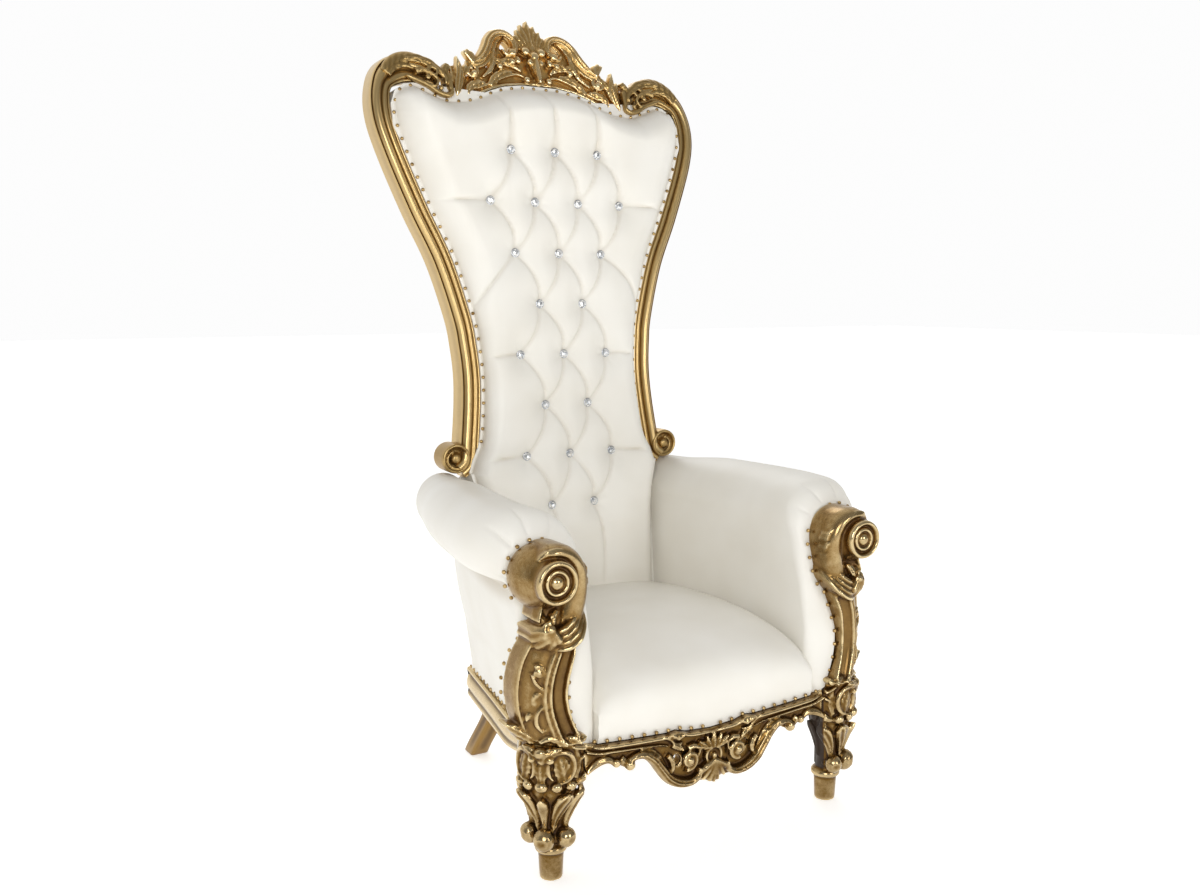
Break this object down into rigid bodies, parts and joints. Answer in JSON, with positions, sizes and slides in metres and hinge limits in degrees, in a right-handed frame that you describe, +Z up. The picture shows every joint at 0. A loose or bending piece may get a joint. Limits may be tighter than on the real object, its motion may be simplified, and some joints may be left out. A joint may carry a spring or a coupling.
{
  "type": "throne",
  "caption": "High-backed throne with a carved gilt frame, pierced crest, deep-buttoned back and rolled padded arms, standing on four feet.",
  "frame": {"origin": "middle of the part's bounding box in X and Y, on the floor under the feet", "axes": "+Z up; -Y the front, where the seat opens; +X the right side seen from the front"},
  "size_m": [0.9378, 0.9432, 1.83],
  "materials": {
    "gilt_wood": "antique gold leaf over carved wood, burnished on the high parts",
    "gilt_wood_plain": "worn antique gold over brown ground, satin",
    "dark_wood": "dark mahogany stain, satin",
    "white_leather": "smooth ivory-white faux leather, soft sheen",
    "crystal": "clear faceted crystal in a silver rim",
    "nail_brass": "antique brass nail heads"
  },
  "bodies": {
    "root": {"crest_rail": "gilt_wood", "stile_right": "gilt_wood", "stile_left": "gilt_wood", "back_pad": "white_leather", "back_panel": "white_leather", "button_1_1": "crystal", "button_1_2": "crystal", "button_1_3": "crystal", "button_2_1": "crystal", "button_2_2": "crystal", "button_2_3": "crystal", "button_2_4": "crystal", "button_3_1": "crystal", "button_3_2": "crystal", "button_3_3": "crystal", "button_4_1": "crystal", "button_4_2": "crystal", "button_5_1": "crystal", "button_5_2": "crystal", "button_5_3": "crystal", "button_6_1": "crystal", "button_6_2": "crystal", "button_7_1": "crystal", "button_7_2": "crystal", "button_7_3": "crystal", "button_8_1": "crystal", "button_8_2": "crystal", "seat_pad": "white_leather", "arm_pad_right": "white_leather", "arm_pad_left": "white_leather", "arm_post_right": "gilt_wood", "arm_post_left": "gilt_wood", "front_leg_right": "gilt_wood", "front_leg_left": "gilt_wood", "front_rail": "gilt_wood", "side_rail_right": "gilt_wood_plain", "side_rail_left": "gilt_wood_plain", "back_leg_right": "gilt_wood_plain", "back_leg_left": "gilt_wood_plain", "back_rail": "dark_wood"}
  },
  "joints": []
}
